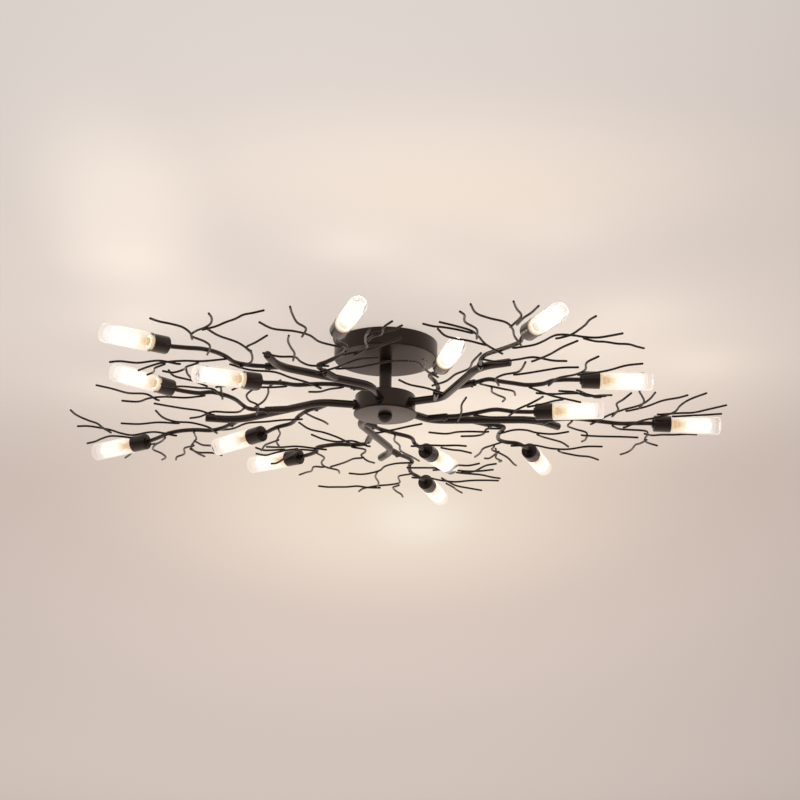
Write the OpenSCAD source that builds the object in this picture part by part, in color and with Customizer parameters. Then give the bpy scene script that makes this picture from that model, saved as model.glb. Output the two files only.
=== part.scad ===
// Branch chandelier: a ceiling light with five branching arms and fifteen
// small glass lamps. Millimetres, +Z up. The origin is the middle of the
// canopy's rim, on the ceiling. Each arm is drawn from its own socket on the
// hub wall: +X outward, +Y to its left seen from above, Z along the stem.

/* [Canopy and bracket] */
// Diameter of the ceiling canopy
canopy_d = 120; // [114:1:140]
// Height of the canopy
canopy_h = 20; // [19:0.5:30]
// Thickness of the canopy sheet
canopy_wall = 1.2; // [0.8:0.1:2]
// Rounding of the canopy's lower edge
canopy_edge = 1.8; // [1.3:0.1:4]
// Width of the ceiling strap
strap_w = 20; // [16:1:24]
// Thickness of the ceiling strap
strap_t = 1.5; // [1:0.1:2]
// Width of each screw slot
slot_w = 4.5; // [4:0.1:6]
// Overall length of each screw slot
slot_l = 12; // [8:1:12]

/* [Stem and hub] */
// Outer diameter of the stem
stem_d = 14.5; // [13:0.5:20]
// Length of the stem between canopy and hub
stem_l = 44; // [20:1:200]
// Outer diameter of the threaded tube through the stem
nipple_d = 10; // [9:0.5:10.5]
// Diameter of the hub
hub_d = 70; // [66:1:90]
// Height of the hub's drum
hub_h = 20.5; // [20:0.5:30]
// Wall thickness of the hub
hub_wall = 3; // [2:0.5:4]
// Rounding of the hub's upper edge
hub_edge = 1.5; // [0.5:0.1:2]
// How far the cover plate stands out past the hub
cover_lip = 1.4; // [0:0.1:4]
// Thickness of the cover plate
cover_t = 2.7; // [2:0.1:5]
// Diameter of the domed nut under the hub
finial_d = 16.6; // [14:0.2:24]

/* [Arms] */
// Outer diameter of an arm's main tube
tube_d = 9; // [8:0.2:10]
// Bore of an arm's main tube
tube_bore = 6.8; // [5.6:0.2:7.2]
// Diameter of the ring where the arm meets the hub
ring_d = 12; // [11:0.5:14]
// Thickness of that ring
ring_t = 2.5; // [1.5:0.1:4]
// Straight run before the first bend
run_1 = 27; // [22:1:30]
// Slanted run between the two bends
run_2 = 89.5; // [86:0.5:94]
// Closed stub after the second bend
run_3 = 18.5; // [12:0.5:30]
// Turn of both bends in degrees
arm_bend = 43.3; // [41:0.1:45]
// Centre-line radius of the first bend
bend_r1 = 33; // [28:1:38]
// Centre-line radius of the second bend
bend_r2 = 50; // [45:1:55]
// Diameter of the sleeves on the main tube
sleeve_d = 8; // [7.4:0.2:9]
// Diameter of the set screws
screw_d = 2.5; // [2:0.1:3]

/* [Branches] */
// Diameter of the tubes that carry the lamps
branch_d = 5; // [4:0.2:5.4]
// Diameter of the bare twigs
twig_d = 2.6; // [2:0.1:3.2]
// How far a twig's root passes the branch it is welded to
twig_stub = 4.5; // [3:0.5:6]

/* [Lamps] */
// Diameter of a lamp cup
cup_d = 19.4; // [19:0.1:20]
// Length of a lamp cup's barrel
cup_l = 20; // [18:0.5:24]
// Diameter of a glass sleeve
glass_d = 20.6; // [20:0.1:22]
// Length of the glass outside the cup
glass_l = 59; // [56:1:70]
// Wall of the glass sleeve
glass_wall = 2.2; // [1.5:0.1:2.6]
// Thickness of the sleeve's closed end
glass_end = 6; // [2:0.5:7]
// Diameter of the lamp holder inside the cup
socket_d = 13; // [11:0.2:13.2]
// Diameter of the bulb
bulb_d = 12.4; // [10:0.2:14]

/* [Hidden] */

$fn = 64;
DARK = [0.16, 0.13, 0.12];
STEEL = [0.72, 0.72, 0.73];
CERAMIC = [0.93, 0.9, 0.85];
CLEAR = [0.95, 0.95, 0.92, 0.4];
eps = 0.01;      // overshoot of a cut through a face
fit_gap = 0.05;  // radial play of a turned fit, and play under a shoulder
loose_gap = 0.2; // radial play of a clearance hole

// heights, measured down from the ceiling
strap_drop = 6;
strap_plate_z = -strap_drop - strap_t;
canopy_floor_z = -canopy_h + canopy_wall;
hub_top_z = -canopy_h - stem_l;
hub_low_z = hub_top_z - hub_h;
cover_low_z = hub_low_z - cover_t;
arm_drop = 12; // from the hub's top to the arms' axes
arm_z = hub_top_z - arm_drop;
nut_t = 3;
nut_af = 14;

// ceiling strap, from its middle: a lowered plate, two slopes and two feet
strap_inset = 6; // between the strap's end and the canopy's outside
strap_half = canopy_d / 2 - strap_inset;
foot_l = 20;
slope_l = 4;
slot_end = 4;    // metal left between a slot and the strap's end
strap_foot = strap_half - foot_l;
strap_flat = strap_foot - slope_l;
slot_pitch = 2 * (strap_half - slot_end - slot_l / 2);

// terminal block, under the lowered plate
block_l = 16;
block_w = 14;
block_h = 9;
block_gap = 6;   // between the nut's flat and the block
block_from = nut_af / 2 + block_gap;
block_bore = 3;

// nipple
nipple_bore = nipple_d - 2.4;
nipple_top_z = -3;
finial_thread = 4;
nipple_low_z = cover_low_z - finial_thread;
wire_window = 4;
hole_d = nipple_d + 2 * loose_gap;

// arms: azimuth of the first one, then what the hand assembly left over,
// as [turn, tip droop, twist] of each arm in degrees
arm_count = 5;
arm_az0 = 186.2;
arm_set = [[1.3, -0.9, 0.9], [-1.8, -0.2, 1.4], [0.5, 1.7, 0],
           [0.3, 0.2, -1.4], [-0.4, -0.9, -0.8]];

tube_in = 8;      // how far the main tube reaches into the hub
lock_nut_af = tube_d + 3;
washer_t = 2;     // thinnest part of the washer between lock nut and hub wall
tube_plug = 3;    // solid length at its closed end
bend_swell = 0.1; // how much thicker the tube is where it is bent
bend_lap = 1;     // how far a straight run reaches into a bend
screw_back = 4;   // set screw's distance from the sleeve's mouth
sleeve_bore = branch_d + 2 * fit_gap;
branch_seat = 15; // how far a branch tube goes into its sleeve
cup_lead = 6;     // straight end of a branch tube behind its cup
cup_seat = 2;     // how far it goes into the cup
// sleeves, each from the main tube's axis to its mouth
SLEEVE = [[[73, -31, 0], [101, -38, -1]],
          [[129, -80, 0], [137, -95, -2]],
          [[31, 0, 0], [44, -22, 0]]];
// lamps as [middle of the cup's back, turn, lift]
LAMP = [[[210, 6, 2], 30, 1], [[232, -175, -4], -40, -1.5],
        [[97, -112, -5], -50, -1]];
// routes of the branch tubes between sleeve and cup
ROUTE = [[[119, -40, 0], [128, -28, 0], [137, -14, 1], [149, -2, 1],
          [165, 3, 2], [180, -3, 2], [194, -1, 2]],
         [[145, -110, -2], [158, -123, -2], [176, -128, -1],
          [193, -135, -1], [208, -145, -2], [218, -159, -3]],
         [[52, -33, 0], [60, -55, 0], [66, -79, -1], [82, -92, -3]]];

// twigs, in groups that each hang from the first point of their first twig,
// on the axis of the tube that it is welded under; heights count from where
// a twig just touches a level branch tube, and a side twig starts just clear
// of the twig that it is welded over or under
TWIG = [
    [[[53, -31, -0.5], [43, -46, 2], [30, -60, 4], [23, -75, 7]]],
    [[[59, -55, 0], [78, -63, 0], [97, -78, 1], [119, -90, 1],
      [135, -113, 0], [154, -131, 2]]],
    [[[80, -90, -3], [76, -106, -1], [76, -126, 1], [75, -143, 3],
      [70, -154, 2]],
     [[77, -126, -2], [84, -140, -0.5], [88, -152, 1], [90, -167, 0]]],
    [[[110, -41, -1], [110, -22, 3], [121, -6, 3], [125, 10, 5],
      [118, 29, 7]],
     [[112, -18, 0.5], [104, -1, 3], [101, 18, 6], [101, 37, 8],
      [89, 55, 11]]],
    [[[153, -1, 1], [155, 15, 2], [158, 33, 3], [168, 49, 3],
      [176, 66, 4]],
     [[155, 12, -1], [166, 26, 1.5], [182, 28, 1], [200, 32, 0],
      [215, 37, -3], [225, 42, -2]],
     [[175, 28, 4.5], [186, 37, 5], [195, 48, 3], [211, 54, 4],
      [218, 65, 7]],
     [[190, 40, 7], [194, 52, 6], [197, 62, 6], [199, 72, 9]]],
    [[[153, -118, -2], [163, -103, -1], [183, -97, 1], [202, -97, 1],
      [217, -82, 0], [227, -66, 3]],
     [[201, -94, -2], [222, -101, 0], [244, -115, 1], [266, -123, 3]]],
    [[[126, -30, 0], [131, -46, 1], [144, -53, 2], [161, -55, 2],
      [174, -69, 0], [186, -84, 2]],
     [[162, -56, -1], [176, -51, 1], [195, -50, 2], [212, -48, 3],
      [230, -42, 3]]],
    [[[176, -2, 2], [194, -18, 3], [217, -23, 3], [234, -35, 3],
      [245, -55, 4], [264, -65, 6]],
     [[226, -28, 0], [239, -21, 3], [259, -25, 3], [278, -25, 6],
      [297, -22, 7]]],
    [[[202, -140, -2], [220, -135, 0], [233, -139, 1], [252, -150, 1],
      [266, -143, 1], [276, -132, 1], [288, -124, 1], [302, -121, 2],
      [316, -122, 2]],
     [[255, -149, -2.5], [268, -149, -1], [280, -155, 1], [291, -165, 1],
      [300, -176, 1], [311, -184, 1]],
     [[278, -131, -1.5], [284, -119, -1], [290, -108, 1], [299, -97, 1],
      [308, -87, 2], [313, -76, 2], [317, -64, 3]]],
    [[[212, -151, -3], [215, -172, 0], [222, -191, 1], [224, -212, 2],
      [213, -229, 3], [207, -247, 4], [211, -268, 7]],
     [[222, -194, 3.5], [238, -209, 5], [247, -224, 4], [251, -244, 4],
      [257, -264, 5]],
     [[235, -206, 1], [248, -220, 1.5], [261, -229, 3], [276, -244, 4]]],
    [[[178, -129, -1], [174, -155, 1], [176, -176, 3], [178, -197, 3],
      [171, -216, 3], [159, -234, 4]],
     [[177, -183, 0], [186, -201, 2.5], [185, -225, 3], [193, -242, 4],
      [194, -255, 4]],
     [[177, -199, 0.5], [168, -211, 1.5], [155, -217, 4], [146, -221, 5],
      [138, -231, 6]],
     [[174, -162, -1], [165, -176, 0], [153, -183, 2], [147, -197, 2],
      [145, -211, 6]]]];
// how far each group is bent aside by hand, as [turn, lift] in degrees on
// the first to the fifth arm; undef where an arm lacks the group
HAND = [
    [[0, -4], [3, 1], [2, -3], [0, 2], [-1, 1]],
    [[-2, 2], [0, 0], [1, 0], [0, 0], [0, 0]],
    [[3, -4], [0, 0], [10, -7], [-2, -2], [-8, -2]],
    [[-1, -2], [0, 0], [0, -1], [2, 1], [-3, 1]],
    [[0, 0], [2, 2], [-8, -4], [0, 0], [-2, -1]],
    [[0, 0], [0, 0], [0, 0], [0, 0], [0, -4]],
    [[0, 0], [0, -2], [0, 0], [0, 0], [0, 0]],
    [[3, 2], [0, -1], [0, -1], [-5, -2], [-2, 0]],
    [[-7, -1], [9, -1], [2, 2], [5, 2], [2, -1]],
    [[0, 0], undef, [1, -2], [5, 2], [-3, -1]],
    [[0, 0], [0, -1], [0, -1], [5, 2], [-8, -2]]];
twig_lay = (branch_d + twig_d) / 2;
turn_step = 18; // the turn from which a curve gets a point more

// lamp, measured along its axis from the cup's back
boss_d = 10;
boss_l = 1;
cup_back = 1;     // where the barrel starts
cup_mouth = cup_back + cup_l;
cup_floor = 4;
neck_d = 16.8;
neck_bore = 14;
neck_l = 6;
socket_flange = 1; // width and thickness of the lamp holder's foot
socket_out = 3;    // how far the lamp holder stands out of the cup
socket_from = cup_floor + socket_flange;
socket_to = cup_mouth + socket_out;
bulb_gap = 4;      // between the bulb's tip and the glass's end
bulb_from = socket_to;
bulb_l = glass_l - glass_end - socket_out - bulb_gap;
bulb_neck_l = 16;
glass_from = cup_mouth + fit_gap;
glass_to = glass_from + glass_l;
glass_round = 3;

// ---- curves ----

function unit(v) = v / norm(v);

// a smooth curve's point between b and c, with neighbours a and d
function between(a, b, c, d, t) =
    0.5 * (2 * b + t * (c - a) + t * t * (2 * a - 5 * b + 4 * c - d)
           + t * t * t * (3 * b - a - 3 * c + d));

// how much a line of points turns at point i, in degrees
function turn(p, i) = i < 1 || i > len(p) - 2 ? 0
    : acos(min(1, unit(p[i] - p[i - 1]) * unit(p[i + 1] - p[i])));

// the curve through all points, with a point more halfway where it turns
function smooth(p) = let (e = len(p) - 1) [
    for (i = [0:e - 1])
        let (n = max(turn(p, i), turn(p, i + 1)) > turn_step ? 2 : 1)
            for (j = [0:n - 1])
                between(i == 0 ? 2 * p[0] - p[1] : p[i - 1], p[i], p[i + 1],
                        i == e - 1 ? 2 * p[e] - p[e - 1] : p[i + 2], j / n),
    p[e]];

// direction of a line of points at point i
function heading(p, i) =
    unit(p[min(i + 1, len(p) - 1)] - p[max(i - 1, 0)]);

// a bar of radius r along a line of points, none of them upright
module bar(p, r, sides) {
    n = len(p);
    rings = [
        for (i = [0:n - 1])
            let (t = heading(p, i), s = unit(cross([0, 0, 1], t)),
                 u = cross(t, s))
                for (j = [0:sides - 1])
                    let (a = 360 * j / sides)
                        p[i] + r * (cos(a) * s + sin(a) * u)];
    walls = [
        for (i = [0:n - 2], j = [0:sides - 1])
            let (a = i * sides + j, b = i * sides + (j + 1) % sides)
                each [[a, a + sides, b], [b, a + sides, b + sides]]];
    caps = [[for (j = [0:sides - 1]) j],
            [for (j = [sides - 1:-1:0]) (n - 1) * sides + j]];
    polyhedron(rings, concat(walls, caps));
}

// ---- placing ----

module at_arm(k) {
    rotate([0, 0, arm_az0 + 360 / arm_count * k])
        translate([hub_d / 2, 0, arm_z])
            rotate([arm_set[k][2], arm_set[k][1], arm_set[k][0]])
                children();
}

// lamp j of arm k, with the lamp's axis along +Z from the cup's back
module at_lamp(k, j) {
    at_arm(k)
        translate(LAMP[j][0])
            rotate([0, -LAMP[j][2], LAMP[j][1]])
                rotate([0, 90, 0])
                    children();
}

function lamp_dir(j) = let (a = LAMP[j][1], e = LAMP[j][2])
    [cos(e) * cos(a), cos(e) * sin(a), sin(e)];

// the frame of sleeve j, with +Z from its start to its mouth
module at_sleeve(j) {
    v = SLEEVE[j][1] - SLEEVE[j][0];
    translate(SLEEVE[j][0])
        rotate([0, acos(v[2] / norm(v)), atan2(v[1], v[0])])
            children();
}

function sleeve_len(j) = norm(SLEEVE[j][1] - SLEEVE[j][0]);

// ---- small standard pieces ----

module ring(outer, inner, h) {
    difference() {
        cylinder(d = outer, h = h);
        translate([0, 0, -eps]) cylinder(d = inner, h = h + 2 * eps);
    }
}

module hex_nut(af, bore, h) {
    difference() {
        cylinder(d = af / cos(30), h = h, $fn = 6);
        translate([0, 0, -eps]) cylinder(d = bore, h = h + 2 * eps);
    }
}

// ---- canopy and bracket ----

module ceiling_bracket() {
    low = strap_plate_z;
    profile = [
        [-strap_half, 0], [-strap_half, -strap_t],
        [-strap_foot, -strap_t], [-strap_flat, low],
        [strap_flat, low], [strap_foot, -strap_t],
        [strap_half, -strap_t], [strap_half, 0],
        [strap_foot - strap_t, 0], [strap_flat - strap_t, low + strap_t],
        [strap_t - strap_flat, low + strap_t], [strap_t - strap_foot, 0]];
    slot_run = (slot_l - slot_w) / 2;
    color(STEEL)
        difference() {
            translate([0, strap_w / 2, 0])
                rotate([90, 0, 0])
                    linear_extrude(strap_w) polygon(profile);
            translate([0, 0, low - 1]) cylinder(d = nipple_d, h = 4);
            for (side = [-1, 1], end = [-1, 1])
                translate([side * slot_pitch / 2 + end * slot_run, 0, -strap_t - 1])
                    cylinder(d = slot_w, h = strap_t + 2);
            for (side = [-1, 1])
                translate([side * slot_pitch / 2 - slot_run, -slot_w / 2, -strap_t - 1])
                    cube([2 * slot_run, slot_w, strap_t + 2]);
        }
}

module bracket_nut() {
    color(STEEL)
        translate([0, 0, strap_plate_z - nut_t])
            hex_nut(nut_af, nipple_d, nut_t);
}

module canopy() {
    r = canopy_d / 2;
    w = canopy_wall;
    color(DARK)
        difference() {
            rotate_extrude() {
                difference() {
                    union() {
                        translate([0, -canopy_h]) square([r - canopy_edge, canopy_h]);
                        translate([0, canopy_edge - canopy_h])
                            square([r, canopy_h - canopy_edge]);
                        translate([r - canopy_edge, canopy_edge - canopy_h])
                            circle(r = canopy_edge);
                    }
                    translate([-eps, canopy_floor_z])
                        square([r - w + eps, canopy_h]);
                    translate([-r, -canopy_h - 1]) square([r, canopy_h + 2]);
                }
            }
            translate([0, 0, -canopy_h - 1]) cylinder(d = hole_d, h = 4);
        }
}

module canopy_nut() {
    color(STEEL)
        translate([0, 0, canopy_floor_z])
            hex_nut(nut_af, nipple_d, nut_t);
}

module terminal_block() {
    color(CERAMIC)
        difference() {
            translate([block_from, -block_w / 2, strap_plate_z - block_h])
                cube([block_l, block_w, block_h]);
            for (side = [-1, 1])
                translate([block_from - eps, side * block_w / 4, strap_plate_z - block_h / 2])
                    rotate([0, 90, 0]) cylinder(d = block_bore, h = block_l + 2 * eps);
        }
}

// ---- stem and hub ----

module nipple() {
    high = nipple_top_z - nipple_low_z;
    color(STEEL)
        difference() {
            translate([0, 0, nipple_low_z]) cylinder(d = nipple_d, h = high);
            translate([0, 0, nipple_low_z - 1]) cylinder(d = nipple_bore, h = high + 2);
            // wires come in above the canopy's nut and go out into the hub
            for (z = [canopy_floor_z + nut_t + wire_window / 2, arm_z])
                translate([0, 0, z - wire_window / 2])
                    translate([0, -wire_window / 2, 0])
                        cube([nipple_d, wire_window, wire_window]);
        }
}

module stem() {
    color(DARK)
        translate([0, 0, hub_top_z])
            ring(stem_d, nipple_d + 2 * loose_gap, stem_l);
}

module hub_body() {
    r = hub_d / 2;
    color(DARK)
        difference() {
            rotate_extrude()
                difference() {
                    union() {
                        translate([0, hub_low_z]) square([r, hub_h - hub_edge]);
                        translate([0, hub_low_z]) square([r - hub_edge, hub_h]);
                        translate([r - hub_edge, hub_top_z - hub_edge])
                            circle(r = hub_edge);
                    }
                    translate([-eps, hub_low_z - 1])
                        square([r - hub_wall + eps, hub_h - hub_wall + 1]);
                    translate([-r, hub_low_z - 1]) square([r, hub_h + 2]);
                }
            translate([0, 0, hub_top_z - hub_wall - 1])
                cylinder(d = hole_d, h = hub_wall + 2);
            for (k = [0:arm_count - 1])
                at_arm(k)
                    translate([-hub_wall - 4, 0, 0])
                        rotate([0, 90, 0])
                            cylinder(d = tube_d + 2 * loose_gap, h = hub_wall + 8);
        }
}

module hub_nut() {
    color(STEEL)
        translate([0, 0, hub_top_z - hub_wall - nut_t])
            hex_nut(nut_af, nipple_d, nut_t);
}

// a lock nut on each arm inside the hub, over a washer shaped to the wall
module arm_nuts() {
    inner_r = hub_d / 2 - hub_wall;
    color(STEEL)
        for (k = [0:arm_count - 1]) {
            at_arm(k)
                translate([-hub_wall - washer_t - nut_t, 0, 0])
                    rotate([0, 90, 0]) hex_nut(lock_nut_af, tube_d, nut_t);
            intersection() {
                at_arm(k)
                    translate([-hub_wall - washer_t, 0, 0])
                        rotate([0, 90, 0]) ring(lock_nut_af, tube_d, washer_t + 1);
                translate([0, 0, hub_low_z]) cylinder(r = inner_r, h = hub_h);
            }
        }
}

// supply lead, riser in the nipple, splice ring in the hub, lead to each arm
module wiring() {
    lead_d = 2.4;
    riser_d = 3.2;
    splice_r = 18;
    splice_w = 4;
    lead_z = canopy_floor_z + nut_t + wire_window / 2;
    low = arm_z - splice_w / 2;
    color(CERAMIC) {
        translate([0, 0, low]) cylinder(d = riser_d, h = lead_z + 2 - low);
        translate([0, 0, lead_z]) rotate([0, 90, 0]) cylinder(d = lead_d, h = block_from);
        translate([0, 0, arm_z]) rotate([0, 90, 0]) cylinder(d = lead_d, h = splice_r);
        translate([0, 0, low])
            ring(2 * splice_r + splice_w, 2 * splice_r - splice_w, splice_w);
        for (k = [0:arm_count - 1])
            at_arm(k)
                translate([splice_r - hub_d / 2, 0, 0])
                    rotate([0, 90, 0])
                        cylinder(d = lead_d, h = hub_d / 2 - splice_r + run_1 / 2);
    }
}

module hub_cover() {
    spigot_d = hub_d - 2 * hub_wall - 2 * loose_gap;
    spigot_h = 1.5;
    color(DARK)
        difference() {
            union() {
                translate([0, 0, cover_low_z])
                    cylinder(d = hub_d + 2 * cover_lip, h = cover_t);
                translate([0, 0, hub_low_z]) cylinder(d = spigot_d, h = spigot_h);
            }
            translate([0, 0, cover_low_z - 1])
                cylinder(d = hole_d, h = cover_t + spigot_h + 2);
        }
}

// domed nut, blind bored
module finial() {
    skirt = 1.3;
    top = cover_low_z - fit_gap;
    r = finial_d / 2;
    color(DARK)
        difference() {
            union() {
                translate([0, 0, top - skirt]) cylinder(r = r, h = skirt);
                intersection() {
                    translate([0, 0, top - skirt]) sphere(r = r);
                    translate([-r, -r, top - skirt - r]) cube([2 * r, 2 * r, r]);
                }
            }
            translate([0, 0, nipple_low_z - 0.5])
                cylinder(d = nipple_d + 2 * fit_gap, h = finial_thread + 2);
        }
}

// ---- arms ----

// a bend that starts at the origin along +X and turns by a, left if positive
module bend(r, a, d) {
    if (a > 0)
        translate([0, r, 0])
            rotate([0, 0, -90])
                rotate_extrude(angle = a) translate([r, 0]) circle(d = d);
    else
        translate([0, -r, 0])
            rotate([0, 0, 90 + a])
                rotate_extrude(angle = -a) translate([r, 0]) circle(d = d);
}

// what comes after a bend that bend() draws
module past_bend(r, a) {
    side = a > 0 ? 1 : -1;
    translate([r * sin(abs(a)), side * r * (1 - cos(a)), 0])
        rotate([0, 0, a])
            children();
}

// a straight bar along +X that reaches a little into its neighbours
module run(l, d, before = bend_lap, after = bend_lap) {
    translate([-before, 0, 0]) rotate([0, 90, 0]) cylinder(d = d, h = before + l + after);
}

// the main tube's route as one bar, longer or shorter at either end
module main_bar(d, before, after) {
    run(run_1, d, before);
    translate([run_1, 0, 0]) {
        bend(bend_r1, -arm_bend, d + bend_swell);
        past_bend(bend_r1, -arm_bend) {
            run(run_2, d);
            translate([run_2, 0, 0]) {
                bend(bend_r2, arm_bend, d + bend_swell);
                past_bend(bend_r2, arm_bend) run(run_3, d, bend_lap, after);
            }
        }
    }
}

// main tube with its three welded sleeves and the ring at the hub
module arm_tube(k) {
    color(DARK) {
        at_arm(k)
            difference() {
                union() {
                    main_bar(tube_d, tube_in, 0);
                    for (j = [0:2])
                        at_sleeve(j) cylinder(d = sleeve_d, h = sleeve_len(j));
                }
                main_bar(tube_bore, tube_in + 1, -tube_plug);
                for (j = [0:2])
                    at_sleeve(j) {
                        cylinder(d = sleeve_bore, h = sleeve_len(j) + 1);
                        translate([0, 0, sleeve_len(j) - screw_back])
                            rotate([0, 90, 0])
                                cylinder(d = screw_d, h = sleeve_d);
                    }
            }
        difference() {
            at_arm(k)
                translate([-2, 0, 0])
                    rotate([0, 90, 0]) ring(ring_d, (tube_d + tube_bore) / 2, ring_t + 2);
            translate([0, 0, hub_low_z]) cylinder(d = hub_d, h = hub_h);
        }
    }
}

// a set screw near each sleeve's mouth, from below
module set_screws() {
    color(DARK)
        for (k = [0:arm_count - 1], j = [0:2])
            at_arm(k)
                at_sleeve(j)
                    translate([0, 0, sleeve_len(j) - screw_back])
                        rotate([0, 90, 0])
                            translate([0, 0, branch_d / 2])
                                cylinder(d = screw_d, h = sleeve_d / 2 - branch_d / 2 + 1);
}

// branch tube j, from inside its sleeve to inside its cup
function branch_points(j) =
    let (mouth = SLEEVE[j][1], in = unit(SLEEVE[j][0] - mouth),
         seat = min(branch_seat, sleeve_len(j) - tube_d / 2),
         back = LAMP[j][0], out = lamp_dir(j))
        concat([mouth + in * seat],
               smooth(concat([mouth], ROUTE[j], [back - cup_lead * out])),
               [back + cup_seat * out]);

module branch_tubes(k) {
    color(DARK)
        at_arm(k)
            for (j = [0:2])
                bar(branch_points(j), branch_d / 2, 8);
}

// point p of a group that is bent aside by hand = [turn, lift] at its root
function bent(p, root, hand) =
    let (dx = p[0] - root[0], dy = p[1] - root[1], a = hand[0])
        [root[0] + dx * cos(a) - dy * sin(a),
         root[1] + dx * sin(a) + dy * cos(a),
         p[2] + norm([dx, dy]) * sin(hand[1])];

// a twig's points in its arm, with the stub before its root
function twig_points(twig, root, hand) =
    let (p = [for (q = twig) bent(q, root, hand) - [0, 0, twig_lay]],
         back = unit([p[0][0] - p[1][0], p[0][1] - p[1][1], 0]))
        concat([p[0] + twig_stub * back], smooth(p));

module twigs(k) {
    color(DARK)
        at_arm(k)
            for (g = [0:len(TWIG) - 1])
                if (HAND[g][k] != undef)
                    for (twig = TWIG[g])
                        bar(twig_points(twig, TWIG[g][0][0], HAND[g][k]), twig_d / 2, 6);
}

// ---- lamps ----

module cup_shape() {
    r = cup_d / 2;
    step = 1;
    rotate_extrude()
        polygon([
            [branch_d / 2 + fit_gap, -boss_l], [boss_d / 2, -boss_l],
            [boss_d / 2, cup_back], [boss_d / 2 + step, cup_back],
            [boss_d / 2 + step, cup_back - step / 2],
            [boss_d / 2 + 2 * step, cup_back - step / 2],
            [boss_d / 2 + 2 * step, cup_back],
            [r - step, cup_back], [r, cup_back + step],
            [r, cup_mouth], [neck_d / 2 + fit_gap, cup_mouth],
            [neck_d / 2 + fit_gap, cup_floor],
            [branch_d / 2 + fit_gap, cup_floor]]);
}

module cups(k) {
    color(DARK) for (j = [0:2]) at_lamp(k, j) cup_shape();
}

module sockets(k) {
    color(CERAMIC)
        for (j = [0:2])
            at_lamp(k, j)
                difference() {
                    union() {
                        translate([0, 0, cup_floor])
                            cylinder(d = socket_d + 2 * socket_flange, h = socket_flange);
                        translate([0, 0, socket_from])
                            cylinder(d = socket_d, h = socket_to - socket_from);
                    }
                    translate([0, 0, cup_floor - 1])
                        cylinder(d = branch_d, h = cup_floor + 2);
                }
}

module bulbs(k) {
    color(CLEAR)
        for (j = [0:2])
            at_lamp(k, j)
                translate([0, 0, bulb_from]) {
                    cylinder(d = bulb_d * 0.7, h = bulb_neck_l);
                    translate([0, 0, bulb_neck_l])
                        cylinder(d = bulb_d, h = bulb_l - bulb_neck_l - bulb_d / 2);
                    intersection() {
                        translate([0, 0, bulb_l - bulb_d / 2]) sphere(d = bulb_d);
                        translate([-bulb_d, -bulb_d, bulb_l - bulb_d / 2])
                            cube(2 * bulb_d);
                    }
                }
}

// clear sleeve, closed at its far end, with a neck that turns in the cup
module glass(k, j) {
    r = glass_d / 2;
    bore = r - glass_wall;
    c = glass_round;
    color(CLEAR)
        at_lamp(k, j)
            rotate_extrude()
                difference() {
                    union() {
                        translate([0, glass_from])
                            square([r, glass_l - c]);
                        translate([0, glass_from]) square([r - c, glass_l]);
                        translate([r - c, glass_to - c]) circle(r = c);
                        translate([0, cup_mouth - neck_l])
                            square([neck_d / 2, neck_l + 1]);
                    }
                    translate([-eps, cup_mouth - neck_l - 1])
                        square([neck_bore / 2 + eps, neck_l + 4]);
                    translate([-eps, glass_from + 2])
                        square([bore + eps, glass_l - glass_end - 2]);
                    translate([-r - 1, 0]) square([r + 1, glass_to + 1]);
                }
}

ceiling_bracket();
bracket_nut();
canopy();
canopy_nut();
terminal_block();
nipple();
stem();
hub_body();
hub_nut();
arm_nuts();
wiring();
hub_cover();
finial();
set_screws();
arm_tube(0);  // arm_tube_1
arm_tube(1);  // arm_tube_2
arm_tube(2);  // arm_tube_3
arm_tube(3);  // arm_tube_4
arm_tube(4);  // arm_tube_5
branch_tubes(0);  // branch_tubes_1
branch_tubes(1);  // branch_tubes_2
branch_tubes(2);  // branch_tubes_3
branch_tubes(3);  // branch_tubes_4
branch_tubes(4);  // branch_tubes_5
twigs(0);  // twigs_1
twigs(1);  // twigs_2
twigs(2);  // twigs_3
twigs(3);  // twigs_4
twigs(4);  // twigs_5
cups(0);  // cups_1
cups(1);  // cups_2
cups(2);  // cups_3
cups(3);  // cups_4
cups(4);  // cups_5
sockets(0);  // sockets_1
sockets(1);  // sockets_2
sockets(2);  // sockets_3
sockets(3);  // sockets_4
sockets(4);  // sockets_5
bulbs(0);  // bulbs_1
bulbs(1);  // bulbs_2
bulbs(2);  // bulbs_3
bulbs(3);  // bulbs_4
bulbs(4);  // bulbs_5
glass(0, 0);  // glass_1a
glass(0, 1);  // glass_1b
glass(0, 2);  // glass_1c
glass(1, 0);  // glass_2a
glass(1, 1);  // glass_2b
glass(1, 2);  // glass_2c
glass(2, 0);  // glass_3a
glass(2, 1);  // glass_3b
glass(2, 2);  // glass_3c
glass(3, 0);  // glass_4a
glass(3, 1);  // glass_4b
glass(3, 2);  // glass_4c
glass(4, 0);  // glass_5a
glass(4, 1);  // glass_5b
glass(4, 2);  // glass_5c
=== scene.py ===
# Branch chandelier, dressed on its construction model. Lengths in the tables
# are in millimetres, angles in degrees; everything that is built is in metres.
import math

import bmesh
import bpy
from mathutils import Euler, Matrix, Vector


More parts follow.
